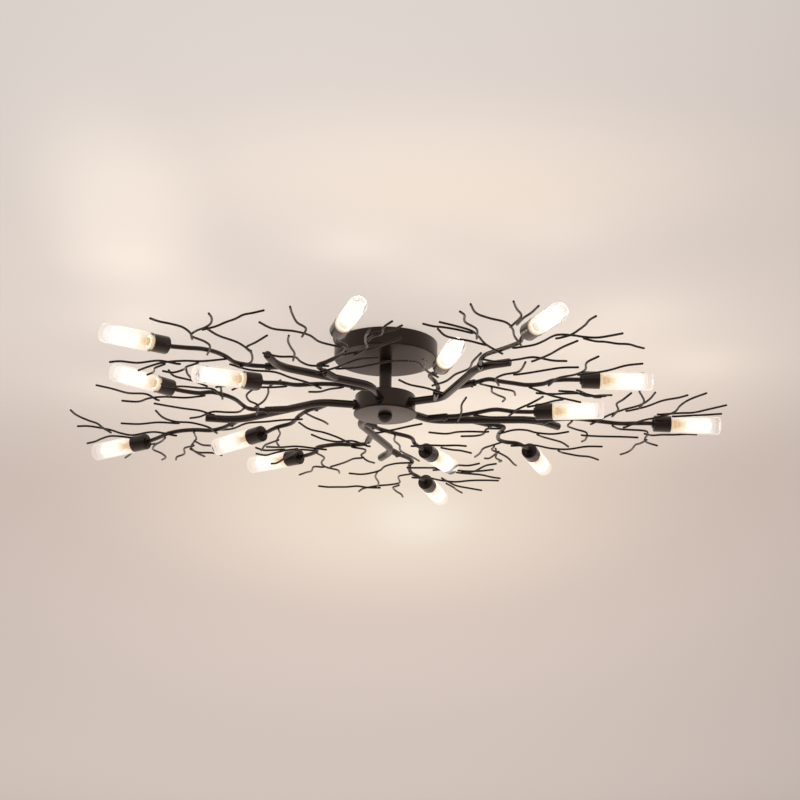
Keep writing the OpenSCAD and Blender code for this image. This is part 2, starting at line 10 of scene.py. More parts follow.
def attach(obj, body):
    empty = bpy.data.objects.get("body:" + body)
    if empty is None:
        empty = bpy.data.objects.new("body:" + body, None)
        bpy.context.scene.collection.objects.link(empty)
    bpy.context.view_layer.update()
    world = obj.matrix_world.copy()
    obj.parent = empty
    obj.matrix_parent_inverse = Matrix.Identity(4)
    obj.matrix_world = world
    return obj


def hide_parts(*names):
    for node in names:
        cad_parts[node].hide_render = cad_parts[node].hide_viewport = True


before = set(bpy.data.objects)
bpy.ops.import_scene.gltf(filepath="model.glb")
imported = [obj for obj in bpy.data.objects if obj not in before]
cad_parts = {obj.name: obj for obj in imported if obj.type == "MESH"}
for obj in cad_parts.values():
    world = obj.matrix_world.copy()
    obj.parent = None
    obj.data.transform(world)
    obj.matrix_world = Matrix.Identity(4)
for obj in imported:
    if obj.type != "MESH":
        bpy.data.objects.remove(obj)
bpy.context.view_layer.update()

MM = 0.001  # one millimetre in metres
ARMS, LAMPS = range(5), range(3)
LETTERS = "abc"  # names of the lamps on an arm


# ---- sizes of the object ----

# canopy, stem, hub, its cover and the domed nut under it; heights count down
# from the ceiling
CANOPY_D, CANOPY_H, CANOPY_WALL, CANOPY_EDGE = 120, 20, 1.2, 1.8
STEM_D, STEM_L = 14.5, 44
HUB_D, HUB_H, HUB_WALL, HUB_EDGE = 70, 20.5, 3, 1.5
COVER_LIP, COVER_T, COVER_SPIGOT = 1.4, 2.7, 1.5
FINIAL_D, FINIAL_SKIRT, FINIAL_BORE, FINIAL_DEPTH = 16.6, 1.3, 10.1, 4.5
ROD_HOLE = 10.4  # for the threaded tube, in the canopy, stem, hub and cover
HUB_TOP = -CANOPY_H - STEM_L
HUB_LOW = HUB_TOP - HUB_H
COVER_LOW = HUB_LOW - COVER_T
ARM_Z = HUB_TOP - 12  # where the main tubes leave the hub

# main tube, its part inside the hub, its ring, its three runs and two bends
TUBE_D, TUBE_IN, RING_D, RING_T = 9, 8, 12, 2.5
RUN_1, RUN_2, RUN_3 = 27, 89.5, 18.5
ARM_BEND, BEND_R1, BEND_R2, BEND_STEPS = 43.3, 33, 50, 16

# sleeves, branch tubes seated in them, and twigs lying along the branch tubes
SLEEVE_D, SLEEVE_DEPTH, BRANCH_D, BRANCH_SEAT = 8, 5, 5, 15
TWIG_D, TWIG_STUB = 2.6, 4.5
TWIG_LAY = (BRANCH_D + TWIG_D) / 2

# cup, glass sleeve with its neck in the cup, and bulb; heights count along the
# lamp from its cup's back
CUP_D, CUP_BACK, CUP_FLOOR, CUP_MOUTH, BOSS_D = 19.4, 1, 4, 21, 10
GLASS_D, GLASS_L, GLASS_WALL, GLASS_END, GLASS_ROUND = 20.6, 59, 2.2, 6, 3
NECK_D, NECK_BORE, NECK_L = 16.8, 14, 6
BULB_D, BULB_FOOT, BULB_LOW, BULB_TOP = 12.4, 6, 24, 70

PLAY = 0.05  # between pieces that fit into one another
LAMP_MAP_L = 80  # length along a lamp that its map covers

# direction of the first arm, then [turn, tip droop, twist] of each arm
FIRST_ARM = 186.2
ARM_SET = [[1.3, -0.9, 0.9], [-1.8, -0.2, 1.4], [0.5, 1.7, 0],
           [0.3, 0.2, -1.4], [-0.4, -0.9, -0.8]]
# In an arm's own millimetres, x outward from the hub's wall: [start, mouth] of
# each sleeve, [cup's back, turn, lift] of each lamp, the points of each branch
# tube between them, and the twigs, group by group.
SLEEVE = [[[73, -31, 0], [101, -38, -1]],
          [[129, -80, 0], [137, -95, -2]],
          [[31, 0, 0], [44, -22, 0]]]
LAMP = [[[210, 6, 2], 30, 1], [[232, -175, -4], -40, -1.5],
        [[97, -112, -5], -50, -1]]
ROUTE = [[[119, -40, 0], [128, -28, 0], [137, -14, 1], [149, -2, 1],
          [165, 3, 2], [180, -3, 2], [194, -1, 2]],
         [[145, -110, -2], [158, -123, -2], [176, -128, -1],
          [193, -135, -1], [208, -145, -2], [218, -159, -3]],
         [[52, -33, 0], [60, -55, 0], [66, -79, -1], [82, -92, -3]]]
TWIG = [
    [[[53, -31, -0.5], [43, -46, 2], [30, -60, 4], [23, -75, 7]]],
    [[[59, -55, 0], [78, -63, 0], [97, -78, 1], [119, -90, 1],
      [135, -113, 0], [154, -131, 2]]],
    [[[80, -90, -3], [76, -106, -1], [76, -126, 1], [75, -143, 3],
      [70, -154, 2]],
     [[77, -126, -2], [84, -140, -0.5], [88, -152, 1], [90, -167, 0]]],
    [[[110, -41, -1], [110, -22, 3], [121, -6, 3], [125, 10, 5],
      [118, 29, 7]],
     [[112, -18, 0.5], [104, -1, 3], [101, 18, 6], [101, 37, 8],
      [89, 55, 11]]],
    [[[153, -1, 1], [155, 15, 2], [158, 33, 3], [168, 49, 3],
      [176, 66, 4]],
     [[155, 12, -1], [166, 26, 1.5], [182, 28, 1], [200, 32, 0],
      [215, 37, -3], [225, 42, -2]],
     [[175, 28, 4.5], [186, 37, 5], [195, 48, 3], [211, 54, 4],
      [218, 65, 7]],
     [[190, 40, 7], [194, 52, 6], [197, 62, 6], [199, 72, 9]]],
    [[[153, -118, -2], [163, -103, -1], [183, -97, 1], [202, -97, 1],
      [217, -82, 0], [227, -66, 3]],
     [[201, -94, -2], [222, -101, 0], [244, -115, 1], [266, -123, 3]]],
    [[[126, -30, 0], [131, -46, 1], [144, -53, 2], [161, -55, 2],
      [174, -69, 0], [186, -84, 2]],
     [[162, -56, -1], [176, -51, 1], [195, -50, 2], [212, -48, 3],
      [230, -42, 3]]],
    [[[176, -2, 2], [194, -18, 3], [217, -23, 3], [234, -35, 3],
      [245, -55, 4], [264, -65, 6]],
     [[226, -28, 0], [239, -21, 3], [259, -25, 3], [278, -25, 6],
      [297, -22, 7]]],
    [[[202, -140, -2], [220, -135, 0], [233, -139, 1], [252, -150, 1],
      [266, -143, 1], [276, -132, 1], [288, -124, 1], [302, -121, 2],
      [316, -122, 2]],
     [[255, -149, -2.5], [268, -149, -1], [280, -155, 1], [291, -165, 1],
      [300, -176, 1], [311, -184, 1]],
     [[278, -131, -1.5], [284, -119, -1], [290, -108, 1], [299, -97, 1],
      [308, -87, 2], [313, -76, 2], [317, -64, 3]]],
    [[[212, -151, -3], [215, -172, 0], [222, -191, 1], [224, -212, 2],
      [213, -229, 3], [207, -247, 4], [211, -268, 7]],
     [[222, -194, 3.5], [238, -209, 5], [247, -224, 4], [251, -244, 4],
      [257, -264, 5]],
     [[235, -206, 1], [248, -220, 1.5], [261, -229, 3], [276, -244, 4]]],
    [[[178, -129, -1], [174, -155, 1], [176, -176, 3], [178, -197, 3],
      [171, -216, 3], [159, -234, 4]],
     [[177, -183, 0], [186, -201, 2.5], [185, -225, 3], [193, -242, 4],
      [194, -255, 4]],
     [[177, -199, 0.5], [168, -211, 1.5], [155, -217, 4], [146, -221, 5],
      [138, -231, 6]],
     [[174, -162, -1], [165, -176, 0], [153, -183, 2], [147, -197, 2],
      [145, -211, 6]]]]
# [turn, lift] by which each group of twigs is bent aside, arm by arm, or None
# where an arm has no such group
HAND = [
    [[0, -4], [3, 1], [2, -3], [0, 2], [-1, 1]],
    [[-2, 2], [0, 0], [1, 0], [0, 0], [0, 0]],
    [[3, -4], [0, 0], [10, -7], [-2, -2], [-8, -2]],
    [[-1, -2], [0, 0], [0, -1], [2, 1], [-3, 1]],
    [[0, 0], [2, 2], [-8, -4], [0, 0], [-2, -1]],
    [[0, 0], [0, 0], [0, 0], [0, 0], [0, -4]],
    [[0, 0], [0, -2], [0, 0], [0, 0], [0, 0]],
    [[3, 2], [0, -1], [0, -1], [-5, -2], [-2, 0]],
    [[-7, -1], [9, -1], [2, 2], [5, 2], [2, -1]],
    [[0, 0], None, [1, -2], [5, 2], [-3, -1]],
    [[0, 0], [0, -1], [0, -1], [5, 2], [-8, -2]]]


# ---- where things are ----

def turned_by(x, y, z):
    angles = (math.radians(x), math.radians(y), math.radians(z))
    return Euler(angles, "XYZ").to_matrix().to_4x4()


def moved_to(x, y, z):
    return Matrix.Translation(Vector((x, y, z)))


def arm_place(k):
    """From an arm's own millimetres to the object's."""
    turn, droop, twist = ARM_SET[k]
    return (turned_by(0, 0, FIRST_ARM + 360 / len(ARMS) * k)
            @ moved_to(HUB_D / 2, 0, ARM_Z) @ turned_by(twist, droop, turn))


def lamp_place(k, j):
    """From a lamp's own millimetres, +Z along the lamp from its cup's back."""
    back, turn, lift = LAMP[j]
    return (arm_place(k) @ moved_to(*back) @ turned_by(0, -lift, turn)
            @ turned_by(0, 90, 0))


def sleeve_place(k, j):
    """From a sleeve's own millimetres, +Z from its start to its mouth."""
    start, mouth = (Vector(p) for p in SLEEVE[j])
    v = mouth - start
    return (arm_place(k) @ moved_to(*start)
            @ turned_by(0, math.degrees(math.acos(v.z / v.length)),
                        math.degrees(math.atan2(v.y, v.x))))


def sleeve_length(j):
    return (Vector(SLEEVE[j][1]) - Vector(SLEEVE[j][0])).length


def back_from(place):
    """From the object's metres back to the millimetres of one of these places."""
    return (Matrix.Scale(MM, 4) @ place).inverted()


# ---- lines that the bars follow ----

def eased(points, steps=6):
    """A smooth line through all the points."""
    points = [Vector(p) for p in points]
    line = []
    last = len(points) - 1
    for i in range(last):
        a = points[i - 1] if i else 2 * points[0] - points[1]
        b, c = points[i], points[i + 1]
        d = points[i + 2] if i + 1 < last else 2 * points[last] - points[last - 1]
        for s in range(steps):
            t = s / steps
            line.append(0.5 * (2 * b + t * (c - a) + t * t * (2 * a - 5 * b + 4 * c - d)
                               + t ** 3 * (3 * b - a - 3 * c + d)))
    line.append(points[last])
    return line


def main_tube_line():
    """Straight out of the hub, round the first bend, and back round the second."""
    line = [Vector((-TUBE_IN, 0, 0)), Vector((0, 0, 0))]
    at, way = Vector((RUN_1, 0, 0)), 0.0
    line.append(at.copy())
    for run, radius, bend in ((RUN_2, BEND_R1, -ARM_BEND), (RUN_3, BEND_R2, ARM_BEND)):
        side = 1 if bend > 0 else -1
        heading = Vector((math.cos(way), math.sin(way), 0))
        centre = at + side * radius * Vector((-heading.y, heading.x, 0))
        for s in range(1, BEND_STEPS + 1):
            a = way + math.radians(bend) * s / BEND_STEPS
            line.append(centre + side * radius * Vector((math.sin(a), -math.cos(a), 0)))
        way += math.radians(bend)
        heading = Vector((math.cos(way), math.sin(way), 0))
        at = line[-1] + run * heading
        if radius == BEND_R1:
            line.append(line[-1] + 0.5 * run * heading)
        line.append(at.copy())
    return line


def branch_line(j):
    """From its seat in the sleeve along its points, then straight into its cup."""
    straight, inside = 6, 2
    mouth = Vector(SLEEVE[j][1])
    inward = (Vector(SLEEVE[j][0]) - mouth).normalized()
    seat = min(BRANCH_SEAT, sleeve_length(j) - TUBE_D / 2)
    back, turn, lift = LAMP[j]
    t, e = math.radians(turn), math.radians(lift)
    out = Vector((math.cos(e) * math.cos(t), math.cos(e) * math.sin(t), math.sin(e)))
    back = Vector(back)
    return ([mouth + inward * seat] + eased([mouth] + ROUTE[j] + [back - straight * out])
            + [back + inside * out])


def bent_aside(p, root, hand):
    """A twig's point, turned and lifted about its group's root."""
    dx, dy = p[0] - root[0], p[1] - root[1]
    a = math.radians(hand[0])
    return Vector((root[0] + dx * math.cos(a) - dy * math.sin(a),
                   root[1] + dx * math.sin(a) + dy * math.cos(a),
                   p[2] + math.hypot(dx, dy) * math.sin(math.radians(hand[1])) - TWIG_LAY))


def twig_line(twig, root, hand):
    """A twig's smooth line, with a stub behind it where it is welded on."""
    points = [bent_aside(p, root, hand) for p in twig]
    back = points[0] - points[1]
    back.z = 0
    return [points[0] + TWIG_STUB * back.normalized()] + eased(points)


# ---- making pieces ----

SAME_POINT = 0.001  # corners nearer than this are one corner
# (distance from the end, thickness there as a share of the radius): of a round
# end, with the distance in radii, and of a flat end with an eased edge, in mm
ROUND_END = ((0.8, 1.0), (0.45, 0.89), (0.18, 0.62), (0.0, 0.28))
FLAT_END = ((1.2, 1.0), (0.5, 0.95), (0.12, 0.82), (0.0, 0.6))


def deselect():
    if bpy.context.object and bpy.context.object.mode != "OBJECT":
        bpy.ops.object.mode_set(mode="OBJECT")
    bpy.ops.object.select_all(action="DESELECT")


def put_in_place(piece, place):
    """Sets a piece that was made in millimetres at its place, in metres."""
    deselect()
    piece.select_set(True)
    bpy.context.view_layer.objects.active = piece
    piece.matrix_world = Matrix.Scale(MM, 4) @ place
    bpy.ops.object.transform_apply(location=True, rotation=True, scale=True)
    return piece


def rounded_corner(radius, height, r, start, steps=4):
    """Points round a corner of radius r, from angle start over 90 degrees."""
    return [(radius + r * math.cos(math.radians(start + 90 * s / steps)),
             height + r * math.sin(math.radians(start + 90 * s / steps)))
            for s in range(steps + 1)]


def turned(name, outline, steps):
    """A closed turned piece about +Z. outline is its section, as (radius,
    height) round the loop, anticlockwise where height goes up."""
    deselect()
    bpy.ops.mesh.primitive_circle_add(vertices=len(outline), radius=1)
    piece = bpy.context.object
    piece.name = piece.data.name = name
    bpy.ops.object.mode_set(mode="EDIT")
    section = bmesh.from_edit_mesh(piece.data)
    section.verts.ensure_lookup_table()
    for vertex, (radius, height) in zip(section.verts, outline):
        vertex.co = (radius, 0, height)
    bmesh.update_edit_mesh(piece.data)
    bpy.ops.mesh.select_all(action="SELECT")
    bpy.ops.mesh.spin(steps=steps, angle=math.tau, center=(0, 0, 0), axis=(0, 0, 1))
    bpy.ops.mesh.select_all(action="SELECT")
    bpy.ops.mesh.remove_doubles(threshold=SAME_POINT)
    bpy.ops.mesh.delete_loose(use_verts=True, use_edges=True, use_faces=False)
    bpy.ops.mesh.select_all(action="SELECT")
    bpy.ops.mesh.normals_make_consistent(inside=False)
    bpy.ops.object.mode_set(mode="OBJECT")
    bpy.ops.object.shade_smooth_by_angle(angle=math.radians(35))
    return piece


def swept(name, lines, radius, sides):
    """Round bars along lines of (point, thickness), thickness 1 at full radius."""
    deselect()
    bpy.ops.curve.primitive_nurbs_path_add()
    piece = bpy.context.object
    piece.name = name
    curve = piece.data
    curve.splines.clear()
    for line in lines:
        spline = curve.splines.new("POLY")
        spline.points.add(len(line) - 1)
        for target, (point, thickness) in zip(spline.points, line):
            target.co = (*point, 1)
            target.radius = thickness
    curve.bevel_depth = radius
    curve.bevel_resolution = sides // 4 - 1
    curve.use_fill_caps = True
    curve.twist_mode = "MINIMUM"
    piece.select_set(True)
    bpy.context.view_layer.objects.active = piece
    bpy.ops.object.convert(target="MESH")
    piece = bpy.context.object
    piece.name = piece.data.name = name
    bpy.ops.object.mode_set(mode="EDIT")
    bpy.ops.mesh.select_all(action="SELECT")
    bpy.ops.mesh.remove_doubles(threshold=SAME_POINT)
    bpy.ops.mesh.normals_make_consistent(inside=False)
    bpy.ops.object.mode_set(mode="OBJECT")
    bpy.ops.object.shade_smooth_by_angle(angle=math.radians(50))
    return piece


def rounded_ends(line, radius):
    """Gives a line its thickness: full along it, round at both ends."""
    line = [Vector(p) for p in line]
    ends = []
    for end, inner in ((line[0], line[1]), (line[-1], line[-2])):
        way = (end - inner).normalized()
        ends.append([(end - way * back * radius, thickness) for back, thickness in ROUND_END])
    return ends[0][::-1] + [(p, 1.0) for p in line[1:-1]] + ends[1]


def joined(name, pieces):
    """One piece of several that share a body and a finish."""
    deselect()
    for piece in pieces:
        piece.select_set(True)
    bpy.context.view_layer.objects.active = pieces[0]
    bpy.ops.object.join()
    piece = bpy.context.object
    piece.name = piece.data.name = name
    return piece


def copy_of(piece):
    """A copy with a mesh of its own."""
    deselect()
    piece.select_set(True)
    bpy.context.view_layer.objects.active = piece
    bpy.ops.object.duplicate()
    return bpy.context.object


# ---- finishes ----

def new_material(name):
    material = bpy.data.materials.new(name)
    material.use_nodes = True
    return material, material.node_tree, material.node_tree.nodes["Principled BSDF"]


def painted_grain_group():
    """Uneven tone, gloss and fine surface of a sprayed coat."""
    group = bpy.data.node_groups.new("sprayed coat", "ShaderNodeTree")
    face = group.interface
    for name, kind, value in (("Tone", "NodeSocketColor", (0.02, 0.016, 0.014, 1)),
                              ("Second Tone", "NodeSocketColor", (0.03, 0.024, 0.02, 1)),
                              ("Grain Scale", "NodeSocketFloat", 2500.0),
                              ("Grain Depth", "NodeSocketFloat", 0.15),
                              ("Gloss Low", "NodeSocketFloat", 0.3),
                              ("Gloss High", "NodeSocketFloat", 0.45)):
        socket = face.new_socket(name=name, in_out="INPUT", socket_type=kind)
        socket.default_value = value
    for name, kind in (("Color", "NodeSocketColor"), ("Roughness", "NodeSocketFloat"),
                       ("Normal", "NodeSocketVector")):
        face.new_socket(name=name, in_out="OUTPUT", socket_type=kind)
    nodes, links = group.nodes, group.links
    given, result = nodes.new("NodeGroupInput"), nodes.new("NodeGroupOutput")
    where = nodes.new("ShaderNodeTexCoord")
    cloud, grain = nodes.new("ShaderNodeTexNoise"), nodes.new("ShaderNodeTexNoise")
    cloud.inputs["Scale"].default_value = 30
    cloud.inputs["Detail"].default_value = 4
    grain.inputs["Detail"].default_value = 2
    links.new(where.outputs["Object"], cloud.inputs["Vector"])
    links.new(where.outputs["Object"], grain.inputs["Vector"])
    links.new(given.outputs["Grain Scale"], grain.inputs["Scale"])
    spread = nodes.new("ShaderNodeMapRange")
    spread.inputs["From Min"].default_value = 0.35
    spread.inputs["From Max"].default_value = 0.65
    links.new(cloud.outputs["Fac"], spread.inputs["Value"])
    tone = nodes.new("ShaderNodeMix")
    tone.data_type = "RGBA"
    links.new(spread.outputs["Result"], tone.inputs["Factor"])
    links.new(given.outputs["Tone"], tone.inputs["A"])
    links.new(given.outputs["Second Tone"], tone.inputs["B"])
    gloss = nodes.new("ShaderNodeMix")
    links.new(spread.outputs["Result"], gloss.inputs["Factor"])
    links.new(given.outputs["Gloss Low"], gloss.inputs["A"])
    links.new(given.outputs["Gloss High"], gloss.inputs["B"])
    bump = nodes.new("ShaderNodeBump")
    bump.inputs["Distance"].default_value = 0.0001
    links.new(given.outputs["Grain Depth"], bump.inputs["Strength"])
    links.new(grain.outputs["Fac"], bump.inputs["Height"])
    links.new(tone.outputs["Result"], result.inputs["Color"])
    links.new(gloss.outputs["Result"], result.inputs["Roughness"])
    links.new(bump.outputs["Normal"], result.inputs["Normal"])
    return group


SPRAYED = painted_grain_group()


def sprayed_material(name, tone, second, gloss, metallic=0.0, depth=0.15, grain=2500,
                     sheen_tint=(1, 1, 1), specular=0.5):
    """A coat between two tones and two values of roughness. depth and grain are
    those of its fine surface."""
    material, tree, shader = new_material(name)
    coat = tree.nodes.new("ShaderNodeGroup")
    coat.node_tree = SPRAYED
    coat.inputs["Tone"].default_value = (*tone, 1)
    coat.inputs["Second Tone"].default_value = (*second, 1)
    coat.inputs["Gloss Low"].default_value, coat.inputs["Gloss High"].default_value = gloss
    coat.inputs["Grain Depth"].default_value = depth
    coat.inputs["Grain Scale"].default_value = grain
    tree.links.new(coat.outputs["Color"], shader.inputs["Base Color"])
    tree.links.new(coat.outputs["Roughness"], shader.inputs["Roughness"])
    tree.links.new(coat.outputs["Normal"], shader.inputs["Normal"])
    shader.inputs["Metallic"].default_value = metallic
    shader.inputs["Specular Tint"].default_value = (*sheen_tint, 1)
    shader.inputs["Specular IOR Level"].default_value = specular
    return material


def along_lamp(tree, stops, colour=True):
    """A ramp of colours, or of plain values, at distances along the lamp."""
    where = tree.nodes.new("ShaderNodeUVMap")
    where.uv_map = "lamp"
    split = tree.nodes.new("ShaderNodeSeparateXYZ")
    ramp = tree.nodes.new("ShaderNodeValToRGB")
    ramp.color_ramp.interpolation = "EASE"
    while len(ramp.color_ramp.elements) > 1:
        ramp.color_ramp.elements.remove(ramp.color_ramp.elements[-1])
    for i, (distance, value) in enumerate(stops):
        at = distance / LAMP_MAP_L
        stop = ramp.color_ramp.elements[0] if i == 0 else ramp.color_ramp.elements.new(at)
        stop.position = at
        stop.color = (*value, 1) if colour else (value, value, value, 1)
    tree.links.new(where.outputs["UV"], split.inputs["Vector"])
    tree.links.new(split.outputs["Y"], ramp.inputs["Fac"])
    return ramp


def across_slant(tree, low, high, facing, slanted):
    """One ramp's colour where a face is seen head on, another's at a slant."""
    slant = tree.nodes.new("ShaderNodeLayerWeight")
    slant.inputs["Blend"].default_value = 0.5
    soft = tree.nodes.new("ShaderNodeMapRange")
    soft.interpolation_type = "SMOOTHSTEP"
    soft.inputs["From Min"].default_value = low
    soft.inputs["From Max"].default_value = high
    mix = tree.nodes.new("ShaderNodeMix")
    mix.data_type = "RGBA"
    tree.links.new(slant.outputs["Facing"], soft.inputs["Value"])
    tree.links.new(soft.outputs["Result"], mix.inputs["Factor"])
    tree.links.new(facing.outputs["Color"], mix.inputs["A"])
    tree.links.new(slanted.outputs["Color"], mix.inputs["B"])
    return mix.outputs["Result"]


def clear_glass_material():
    """Clear glass that catches some of the bulb's light at its edges and thick end."""
    material, tree, shader = new_material("clear glass")
    where = tree.nodes.new("ShaderNodeTexCoord")
    ripple = tree.nodes.new("ShaderNodeTexNoise")
    ripple.inputs["Scale"].default_value = 120
    bump = tree.nodes.new("ShaderNodeBump")
    bump.inputs["Strength"].default_value = 0.05
    bump.inputs["Distance"].default_value = 0.0002
    tree.links.new(where.outputs["Object"], ripple.inputs["Vector"])
    tree.links.new(ripple.outputs["Fac"], bump.inputs["Height"])
    tree.links.new(bump.outputs["Normal"], shader.inputs["Normal"])
    shader.inputs["Base Color"].default_value = (0.98, 0.98, 0.975, 1)
    shader.inputs["Roughness"].default_value = 0.05
    shader.inputs["IOR"].default_value = 1.06
    shader.inputs["Transmission Weight"].default_value = 1
    veil = along_lamp(tree, ((15, (0, 0, 0)), (60, (0, 0, 0)), (67, (0.036, 0.036, 0.031)),
                             (76, (0.03, 0.031, 0.031)), (79, (0.04, 0.041, 0.042))))
    edge = along_lamp(tree, ((15, (0.03, 0.02, 0.01)), (24, (0.07, 0.055, 0.035)),
                             (34, (0.11, 0.10, 0.08)), (44, (0.17, 0.16, 0.14)),
                             (60, (0.17, 0.165, 0.15)), (66, (0.10, 0.10, 0.095)),
                             (80, (0.11, 0.11, 0.11))))
    tree.links.new(across_slant(tree, 0.28, 0.7, veil, edge), shader.inputs["Emission Color"])
    shader.inputs["Emission Strength"].default_value = 1
    material.cycles.emission_sampling = "NONE"
    return material


def frosted_glow_material():
    """The frosted inside of a glass sleeve, lit by its bulb and clear at its end."""
    material, tree, shader = new_material("frosted glow")
    core = along_lamp(tree, ((15, (0.50, 0.30, 0.15)), (22, (0.82, 0.60, 0.38)),
                             (29, (0.74, 0.53, 0.31)), (34, (0.92, 0.75, 0.50)),
                             (42, (1.0, 0.97, 0.90)), (64, (1.0, 0.98, 0.94)),
                             (72, (0.92, 0.88, 0.84))))
    rim = along_lamp(tree, ((15, (0.45, 0.28, 0.14)), (24, (0.78, 0.64, 0.50)),
                            (34, (0.84, 0.75, 0.63)), (44, (0.92, 0.87, 0.79)),
                            (60, (0.92, 0.87, 0.79)), (72, (0.84, 0.79, 0.72))))
    cover = along_lamp(tree, ((15, 0.5), (23, 0.55), (33, 0.6), (43, 0.97), (57, 1.0),
                              (64, 0.8), (70, 0.2), (76, 0.04)), colour=False)
    tree.links.new(across_slant(tree, 0.08, 0.5, core, rim), shader.inputs["Emission Color"])
    tree.links.new(cover.outputs["Color"], shader.inputs["Alpha"])
    shader.inputs["Emission Strength"].default_value = 1.05
    shader.inputs["Base Color"].default_value = (0.1, 0.1, 0.1, 1)
    shader.inputs["Roughness"].default_value = 0.7
    shader.inputs["Specular IOR Level"].default_value = 0.1
    material.cycles.emission_sampling = "NONE"
    return material


def bulb_material():
    """A lit bulb: amber at its foot and bright beyond."""
    material, tree, shader = new_material("lit bulb")
    light = along_lamp(tree, ((22, (0.36, 0.18, 0.075)), (29, (0.36, 0.18, 0.08)),
                              (34, (0.58, 0.36, 0.19)), (41, (1.0, 0.82, 0.60)),
                              (48, (1.0, 0.96, 0.88))))
    tree.links.new(light.outputs["Color"], shader.inputs["Emission Color"])
    shader.inputs["Emission Strength"].default_value = 0.9
    shader.inputs["Base Color"].default_value = (0.2, 0.16, 0.12, 1)
    shader.inputs["Roughness"].default_value = 0.4
    material.cycles.emission_sampling = "NONE"
    return material


DARK = sprayed_material("dark sprayed metal", (0.0075, 0.0052, 0.0045), (0.011, 0.0078, 0.0066),
                        (0.21, 0.28), sheen_tint=(1.0, 0.83, 0.76), specular=0.42)
DARK_DOME = sprayed_material("dark sprayed dome", (0.0075, 0.0052, 0.0045),
                             (0.011, 0.0078, 0.0066), (0.05, 0.07),
                             sheen_tint=(1.0, 0.88, 0.82), specular=0.5)
DARK_PLATE = sprayed_material("dark sprayed plate", (0.009, 0.006, 0.005), (0.012, 0.0085, 0.007),
                              (0.30, 0.35), sheen_tint=(1.0, 0.78, 0.68), specular=0.35)
# painted shade for the canopy's underside: a redder, less reflective copy of the plate's paint
DARK_SHADED_UNDER = sprayed_material("dark underside in painted shade", (0.018, 0.008, 0.005),
                              (0.022, 0.0105, 0.007), (0.30, 0.35),
                              sheen_tint=(1.0, 0.75, 0.62), specular=0.13)
DARK_TWIG = sprayed_material("dark sprayed twig", (0.005, 0.0033, 0.0026), (0.007, 0.0048, 0.004),
                             (0.22, 0.3), sheen_tint=(1.0, 0.88, 0.82), specular=0.32)
STEEL = sprayed_material("brushed steel", (0.5, 0.5, 0.51), (0.58, 0.58, 0.6), (0.28, 0.4),
                         metallic=1.0, depth=0.25, grain=900)
CERAMIC = sprayed_material("white ceramic", (0.78, 0.74, 0.66), (0.84, 0.8, 0.73), (0.35, 0.5))
SLEEVING = sprayed_material("pale wire sleeving", (0.74, 0.7, 0.62), (0.8, 0.76, 0.68),
                            (0.5, 0.65), depth=0.4, grain=4000)
CLEAR = clear_glass_material()
GLOW = frosted_glow_material()
BULB = bulb_material()


def dress(piece, *materials):
    """Gives a piece its materials, in place of any that it has."""
    piece.data.materials.clear()
    for material in materials:
        piece.data.materials.append(material)


def in_finish(piece, body, slot, *materials):
    """Dresses a new piece and lets it ride its body; its slot is not used."""
    dress(piece, *materials)
    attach(piece, body)


def map_along_lamp(piece, place):
    """A UV map with V along the lamp's axis and U round it."""
    back = back_from(place)
    layer = piece.data.uv_layers.get("lamp") or piece.data.uv_layers.new(name="lamp")
    for loop in piece.data.loops:
        at = back @ piece.data.vertices[loop.vertex_index].co
        around = math.atan2(at.y, at.x) / math.tau + 0.5
        layer.data[loop.index].uv = (around, at.z / LAMP_MAP_L)


# ---- canopy, stem and hub ----

def make_canopy():
    """A shallow round cup, open toward the ceiling."""
    r, w, e, hole = CANOPY_D / 2, CANOPY_WALL, CANOPY_EDGE, ROD_HOLE / 2
    outline = [(hole, -CANOPY_H)]
    outline += rounded_corner(r - e, -CANOPY_H + e, e, -90, 6)
    outline += [(r, -0.6), (r - 0.3, 0), (r - w, 0), (r - w, -CANOPY_H + w + 1)]
    outline += [(r - w - 1, -CANOPY_H + w), (hole, -CANOPY_H + w)]
    canopy = put_in_place(turned("ceiling_canopy", outline, 128), Matrix())
    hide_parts("canopy")
    in_finish(canopy, "frame", "dark_metal", DARK_PLATE, DARK_SHADED_UNDER)
    # faces that point down take the copy of the paint with painted shade
    for face in canopy.data.polygons:
        if face.normal.z < -0.7:  # the underside
            face.material_index = 1


def make_stem():
    r, bore = STEM_D / 2, ROD_HOLE / 2
    top, low = -CANOPY_H, HUB_TOP
    outline = [(bore, low), (r - 0.3, low), (r, low + 0.3), (r, top - 0.3), (r - 0.3, top),
               (bore, top)]
    stem = put_in_place(turned("stem_tube", outline, 64), Matrix())
    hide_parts("stem")
    in_finish(stem, "frame", "dark_metal", DARK)


def make_hub():
    """A low drum, open underneath."""
    r, w, e, hole = HUB_D / 2, HUB_WALL, HUB_EDGE, ROD_HOLE / 2
    outline = [(r - w, HUB_LOW), (r - 0.2, HUB_LOW), (r, HUB_LOW + 0.2)]
    outline += rounded_corner(r - e, HUB_TOP - e, e, 0, 5)
    outline += [(hole, HUB_TOP), (hole, HUB_TOP - w), (r - w, HUB_TOP - w)]
    hub = put_in_place(turned("hub_drum", outline, 96), Matrix())
    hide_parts("hub_body")
    in_finish(hub, "frame", "dark_metal", DARK)


def make_hub_plate():
    """The hub's cover, with a step that sits inside the drum."""
    r, hole = HUB_D / 2 + COVER_LIP, ROD_HOLE / 2
    spigot, low = HUB_D / 2 - HUB_WALL - 0.2, COVER_LOW
    outline = [(hole, low), (r - 1.0, low), (r - 0.5, low + 0.13), (r - 0.13, low + 0.5),
               (r, low + 1.0), (r, HUB_LOW - 0.3), (r - 0.3, HUB_LOW), (spigot, HUB_LOW),
               (spigot, HUB_LOW + COVER_SPIGOT), (hole, HUB_LOW + COVER_SPIGOT)]
    plate = put_in_place(turned("hub_plate", outline, 96), Matrix())
    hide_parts("hub_cover")
    in_finish(plate, "frame", "dark_metal", DARK_PLATE)


